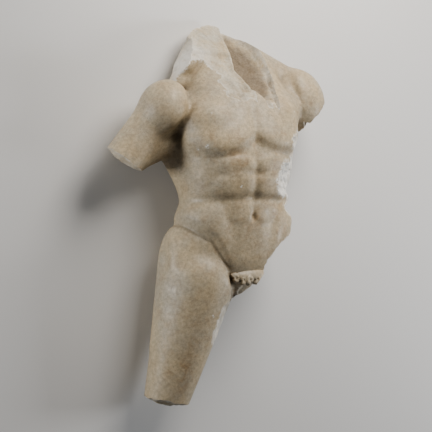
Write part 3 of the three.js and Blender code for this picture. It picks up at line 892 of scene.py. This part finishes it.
def weathered_marble(colours):
    """Old polished skin: warm cream with grey clouds, ochre stains, dirt and painted shade in the hollows,
    small pits.
    """
    n = Nodes("weathered marble")
    cloudy = n.ramp(n.noise(9, 6, 0.65, 0.3), 0.32, 0.68)
    stone = n.mix(cloudy, colour4(colours.stone), colour4(colours.grey_cloud))
    warm = n.ramp(n.noise(26, 8, 0.74, 0.6), 0.42, 0.68)
    warm = n.maths("MULTIPLY", warm, n.maths("ADD", n.attribute("stain_and_shade"), 0.4))
    stone = n.mix(n.maths("MULTIPLY", warm, 0.85), stone, colour4(colours.ochre))
    mottle = n.ramp(n.noise(120, 7, 0.75), 0.3, 0.7, 0.72, 1.2)
    stone = n.mix(1.0, stone, mottle, "MULTIPLY")
    # Dirt and painted shade: the hollow number, how shut in a point is, darkens the skin towards brown.
    hollow = n.maths("ADD", n.attribute("hollow"), n.maths("MULTIPLY", n.noise(70, 6, 0.7), 0.3))
    dirt_and_shade = n.ramp(hollow, 0.24, 0.72)
    stone = n.mix(n.maths("MULTIPLY", dirt_and_shade, 0.85), stone, colour4(colours.dirt_and_shade))
    where = n.ramp(n.noise(22, 4, 0.6), 0.4, 0.64)
    speck = n.maths("ADD", n.cells(300), n.maths("MULTIPLY", n.noise(260, 3, 0.6), 0.5))
    specks = n.maths("MULTIPLY", n.ramp(speck, 0.28, 0.5, 1.0, 0.0), where)
    fine = n.ramp(n.noise(300, 4, 0.7), 0.54, 0.68)
    fine = n.maths("MULTIPLY", fine, n.maths("ADD", where, n.maths("ADD", n.attribute("stain_and_shade"), 0.2)))
    stone = n.mix(n.maths("MULTIPLY", specks, 0.6), stone, colour4(colours.dirt_and_shade))
    stone = n.mix(n.maths("MULTIPLY", fine, 0.45), stone, colour4(colours.dirt_and_shade))
    # Painted highlight: the skin along break edges is whitened.
    rim = n.maths("MULTIPLY", n.attribute("rim"), n.ramp(n.noise(140, 4, 0.6), 0.3, 0.6))
    bruise = n.maths("MULTIPLY", n.attribute("chip"), n.ramp(n.noise(260, 4, 0.6), 0.35, 0.6))
    # Break edges whiten more on the whiter patches, as painted highlight.
    rim = n.maths("MULTIPLY", rim, n.maths("ADD", n.attribute("new"), 0.3))
    stone = n.mix(n.ramp(n.maths("MAXIMUM", rim, bruise), 0.2, 0.75), stone, colour4(colours.bruise_and_highlight))
    rough = n.ramp(n.noise(45, 5), 0.3, 0.75, 0.4, 0.62)
    normal = n.bump(n.noise(24, 6, 0.6), 0.5, 0.003)
    normal = n.bump(n.noise(170, 6, 0.7), 0.45, 0.0012, normal)
    normal = n.bump(n.maths("SUBTRACT", 1.0, specks), 0.6, 0.001, normal)
    return n.finish(stone, rough, normal, 0.1)


def broken_marble(colours):
    """Broken faces: pale crystalline stone, brown with painted shade down in the trough, coarse grain."""
    n = Nodes("broken marble")
    cloudy = n.ramp(n.noise(24, 6, 0.65), 0.35, 0.68)
    stone = n.mix(cloudy, colour4(colours.fresh), colour4(colours.stone))
    warm = n.ramp(n.noise(34, 7, 0.7, 0.6), 0.46, 0.72)
    stone = n.mix(n.maths("MULTIPLY", warm, 0.45), stone, colour4(colours.ochre))
    # Brown and painted shade: the deeper in the throat's trough, the browner the break.
    trough = n.maths("ADD", n.attribute("trough"), n.maths("MULTIPLY", n.noise(50, 6, 0.7), 0.5))
    brown = n.ramp(trough, 0.3, 0.85)
    stone = n.mix(n.maths("MULTIPLY", brown, 0.9), stone, colour4(colours.trough))
    mottle = n.ramp(n.noise(190, 7, 0.75), 0.3, 0.72, 0.76, 1.18)
    stone = n.mix(1.0, stone, mottle, "MULTIPLY")
    pits = n.ramp(n.noise(110, 5, 0.7), 0.6, 0.74)
    stone = n.mix(n.maths("MULTIPLY", pits, 0.45), stone, colour4(colours.dirt_and_shade))
    # Painted highlight: the whiter patches of the new number go towards white.
    new = n.maths("MULTIPLY", n.attribute("new"), n.ramp(n.noise(60, 5, 0.6), 0.2, 0.55))
    # Painted highlight along the break edges.
    rim = n.maths("MULTIPLY", n.attribute("rim"), n.ramp(n.noise(140, 4, 0.6), 0.25, 0.6))
    stone = n.mix(n.maths("MAXIMUM", new, n.maths("MULTIPLY", rim, 0.6)), stone, colour4(colours.bruise_and_highlight))
    grain = n.cells(420)
    normal = n.bump(n.noise(48, 5, 0.55), 0.8, 0.004)
    normal = n.bump(grain, 0.5, 0.0009, normal)
    normal = n.bump(n.noise(500, 3, 0.5), 0.4, 0.0005, normal)
    return n.finish(stone, 0.75, normal, 0.06)


# ------------------------------------------------------------------ settings
FLOOR_HALF = 6000.0
WARM_LIGHT = (1.0, 0.94, 0.86)
COOL_LIGHT = (0.98, 0.99, 1.0)
SKY_COLOUR = (0.95, 0.97, 1.0, 1.0)
SKY_STRENGTH = 0.04
SHARP_ANGLE = math.radians(38)


class TorsoSettings(bpy.types.PropertyGroup):
    """Fineness of the carved stone."""

    turns: bpy.props.IntProperty(
        name="Turns", description="Points in one ring of the skin", default=TURNS, min=40
    )
    rings: bpy.props.IntProperty(
        name="Rings", description="Rings from the neck to the knee", default=RINGS, min=40
    )
    rounds: bpy.props.IntProperty(
        name="Easing", description="Times that the rings are evened out", default=EASING_ROUNDS, min=0
    )
    skin_cell: bpy.props.FloatProperty(
        name="Skin cell", description="Squares of the carved skin, in millimetres", default=SKIN_CELL, min=1.0
    )
    break_cell: bpy.props.FloatProperty(
        name="Break cell", description="Grid of a broken face, in millimetres", default=BREAK_CELL, min=1.0
    )


class MarbleColours(bpy.types.PropertyGroup):
    """Colours of the stone."""

    stone: bpy.props.FloatVectorProperty(
        name="Stone", description="Cream of the worn skin", default=(0.51, 0.405, 0.25),
        subtype="COLOR", min=0, max=1,
    )
    grey_cloud: bpy.props.FloatVectorProperty(
        name="Grey cloud", description="Cooler clouds in it", default=(0.42, 0.36, 0.26),
        subtype="COLOR", min=0, max=1,
    )
    ochre: bpy.props.FloatVectorProperty(
        name="Ochre", description="Iron stains", default=(0.33, 0.215, 0.105),
        subtype="COLOR", min=0, max=1,
    )
    # Brown of the specks and pits, also laid into the hollows as painted shade.
    dirt_and_shade: bpy.props.FloatVectorProperty(
        name="Dirt", description="Brown dirt in hollows and pits", default=(0.115, 0.075, 0.04),
        subtype="COLOR", min=0, max=1,
    )
    # White of bruises and chips, also painted as highlight on break edges and on the whiter patches.
    bruise_and_highlight: bpy.props.FloatVectorProperty(
        name="Bruised", description="White of the newest breaks and bruises", default=(0.80, 0.78, 0.73),
        subtype="COLOR", min=0, max=1,
    )
    # Brown laid on deeper in the trough: brown earth and painted shade.
    trough: bpy.props.FloatVectorProperty(
        name="Trough", description="Brown earth in the deep break at the throat", default=(0.20, 0.15, 0.095),
        subtype="COLOR", min=0, max=1,
    )
    fresh: bpy.props.FloatVectorProperty(
        name="Fresh break", description="Grey-white stone of the broken faces", default=(0.52, 0.475, 0.385),
        subtype="COLOR", min=0, max=1,
    )


class StageSettings(bpy.types.PropertyGroup):
    """Floor, lights and camera."""

    floor: bpy.props.FloatVectorProperty(
        name="Floor", description="Colour of the floor", default=(0.6, 0.593, 0.58),
        subtype="COLOR", min=0, max=1,
    )
    view_turn: bpy.props.FloatProperty(
        name="View turn", description="Camera's turn about the body's length, towards its right",
        default=math.radians(28), subtype="ANGLE",
    )
    look_at: bpy.props.FloatVectorProperty(
        name="Look at", description="Point that the camera looks at, from the foot of the stone",
        default=(0.0006, -0.0077, 0.0907), subtype="TRANSLATION", unit="LENGTH",
    )
    distance: bpy.props.FloatProperty(
        name="Distance", description="Camera to the stone", default=5.0, unit="LENGTH", min=1.0
    )
    frame_width: bpy.props.FloatProperty(
        name="Frame width", description="Width that the camera takes in", default=1.08, unit="LENGTH", min=0.1
    )
    key: bpy.props.FloatProperty(name="Key light", description="Watts of the key light", default=28, min=0)


# ------------------------------------------------------------------ operators
class OBJECT_OT_marble_torso(bpy.types.Operator):
    """Carve and break the torso"""

    bl_idname = "object.marble_torso"
    bl_label = "Marble torso"

    def execute(self, context):
        size = context.scene.torso_settings
        torso = carve_torso(size.turns, size.rings, size.rounds, size.skin_cell, size.break_cell)
        mesh = torso.data
        mesh.name = "marble_torso"
        dress(mesh, context.scene.marble_colours)
        settle(mesh)
        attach(torso, "root")
        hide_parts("torso")
        return {"FINISHED"}


def dress(mesh, colours):
    """Stores dirt and painted shade, depth, stains and rim highlight numbers on the points, and gives broken
    faces broken marble.

    Clearing the materials resets each face's choice, so the choices are read first and put back.
    """
    p = mesh_points(mesh)
    # Hollowness: dirt and painted shade in creases and hollows.
    store(mesh, "hollow", hollowness(mesh))
    # Break rims: whitened in the materials as painted highlight.
    store(mesh, "rim", break_rims(mesh))
    # Trough depth: brown and painted shade on the throat's break.
    store(mesh, "trough", trough_depth(p))
    # Stains, with painted shade by the recess under the tuft.
    store(mesh, "stain_and_shade", clouds(p, STAINS_AND_SHADE))
    store(mesh, "chip", clouds(p, CHIPS))
    # Whiter patches: newer stone and painted highlight.
    store(mesh, "new", clouds(p, WHITE_BREAKS_AND_HIGHLIGHTS))
    finish = face_finish(mesh)
    mesh.materials.clear()
    mesh.materials.append(weathered_marble(colours))
    mesh.materials.append(broken_marble(colours))
    mesh.polygons.foreach_set("material_index", finish)
    mesh.shade_smooth()
    mesh.set_sharp_from_angle(angle=SHARP_ANGLE)


def foot_of_stone():
    """Middle of the bottom of the stone's box."""
    middle = (STONE_LOW + STONE_HIGH) / 2
    return Vector((middle.x, middle.y, STONE_LOW.z))


def settle(mesh):
    """Moves the stone so that its box stands on the frame's box: middle over middle, foot on foot."""
    p = mesh_points(mesh) * MM
    low, high = p.min(0), p.max(0)
    foot = Vector(((low[0] + high[0]) / 2, (low[1] + high[1]) / 2, low[2]))
    mesh.transform(Matrix.Translation(foot_of_stone() - foot))
    mesh.update()


class SCENE_OT_marble_torso_stage(bpy.types.Operator):
    """Lay the floor and set the lights and the camera"""

    bl_idname = "scene.marble_torso_stage"
    bl_label = "Floor, lights and camera"

    def execute(self, context):
        stage = context.scene.stage_settings
        lay_floor(stage)
        turn = stage.view_turn
        right = Vector((math.cos(turn), 0, math.sin(turn)))
        toward = Vector((-math.sin(turn), 0, math.cos(turn)))
        up = Vector((0, 1, 0))
        target = foot_of_stone() + Vector(stage.look_at)
        set_camera(target, right, up, toward, stage)
        key_way = right * 0.7 + up * 1.2 + toward * 0.6
        left_way = up * 0.1 + toward * 0.58 - right
        right_way = right - up * 0.1
        set_light("key", target, key_way, 1.5, 0.8, stage.key, WARM_LIGHT)
        set_light("left strip", target, left_way, 2.0, 0.5, stage.key, COOL_LIGHT)
        set_light("right strip", target, right_way, 2.0, 0.5, stage.key * 0.7, COOL_LIGHT)
        set_sky(SKY_STRENGTH)
        return {"FINISHED"}


def lay_floor(stage):
    """A square of floor, a dozen metres across."""
    half = FLOOR_HALF
    corner = np.array([(-half, -half, 0), (half, -half, 0), (half, half, 0), (-half, half, 0)])
    floor = new_object("floor", mesh_from("floor", corner, np.array([[0, 1, 2, 3]])))
    n = Nodes("pale floor")
    grain = n.bump(n.noise(400, 3), 0.1, 0.0004)
    floor.data.materials.append(n.finish(colour4(stage.floor), 0.8, grain, 0.0))


def set_camera(target, right, up, toward, stage):
    """A long lens that looks down on the lying figure, its head up in the frame."""
    lens = bpy.data.cameras.new("camera")
    lens.sensor_width = 36.0
    lens.lens = lens.sensor_width * stage.distance / stage.frame_width
    lens.clip_end = 50.0
    camera = bpy.data.objects.new("camera", lens)
    bpy.context.scene.collection.objects.link(camera)
    axes = Matrix((right, up, toward)).transposed().to_4x4()
    camera.matrix_world = Matrix.Translation(target + toward * stage.distance) @ axes
    bpy.context.scene.camera = camera


def set_light(name, target, way, distance, size, power, colour):
    """A square soft light that looks at the stone."""
    lamp = bpy.data.lights.new(name, "AREA")
    lamp.size = size
    lamp.energy = power
    lamp.color = colour
    light = bpy.data.objects.new(name, lamp)
    bpy.context.scene.collection.objects.link(light)
    way = way.normalized()
    light.location = target + way * distance
    light.rotation_mode = "QUATERNION"
    light.rotation_quaternion = way.to_track_quat("Z", "Y")


def set_sky(strength):
    """Even pale light from all round."""
    world = bpy.data.worlds.new("studio")
    world.use_nodes = True
    back = world.node_tree.nodes["Background"]
    back.inputs["Color"].default_value = SKY_COLOUR
    back.inputs["Strength"].default_value = strength
    bpy.context.scene.world = world


class VIEW3D_PT_marble_torso(bpy.types.Panel):
    """Sizes, colours and steps of the marble torso"""

    bl_label = "Marble torso"
    bl_idname = "VIEW3D_PT_marble_torso"
    bl_space_type = "VIEW_3D"
    bl_region_type = "UI"
    bl_category = "Torso"

    def draw(self, context):
        groups = (context.scene.torso_settings, context.scene.marble_colours, context.scene.stage_settings)
        for group in groups:
            box = self.layout.box()
            for key in group.bl_rna.properties.keys():
                if key not in {"rna_type", "name"}:
                    box.prop(group, key)
        self.layout.operator(OBJECT_OT_marble_torso.bl_idname)
        self.layout.operator(SCENE_OT_marble_torso_stage.bl_idname)


CLASSES = (
    TorsoSettings,
    MarbleColours,
    StageSettings,
    OBJECT_OT_marble_torso,
    SCENE_OT_marble_torso_stage,
    VIEW3D_PT_marble_torso,
)


def register():
    for one in CLASSES:
        bpy.utils.register_class(one)
    bpy.types.Scene.torso_settings = bpy.props.PointerProperty(type=TorsoSettings)
    bpy.types.Scene.marble_colours = bpy.props.PointerProperty(type=MarbleColours)
    bpy.types.Scene.stage_settings = bpy.props.PointerProperty(type=StageSettings)


def unregister():
    del bpy.types.Scene.torso_settings
    del bpy.types.Scene.marble_colours
    del bpy.types.Scene.stage_settings
    for one in reversed(CLASSES):
        bpy.utils.unregister_class(one)


def main():
    register()
    bpy.ops.object.marble_torso()
    bpy.ops.scene.marble_torso_stage()


if __name__ == "__main__":
    main()
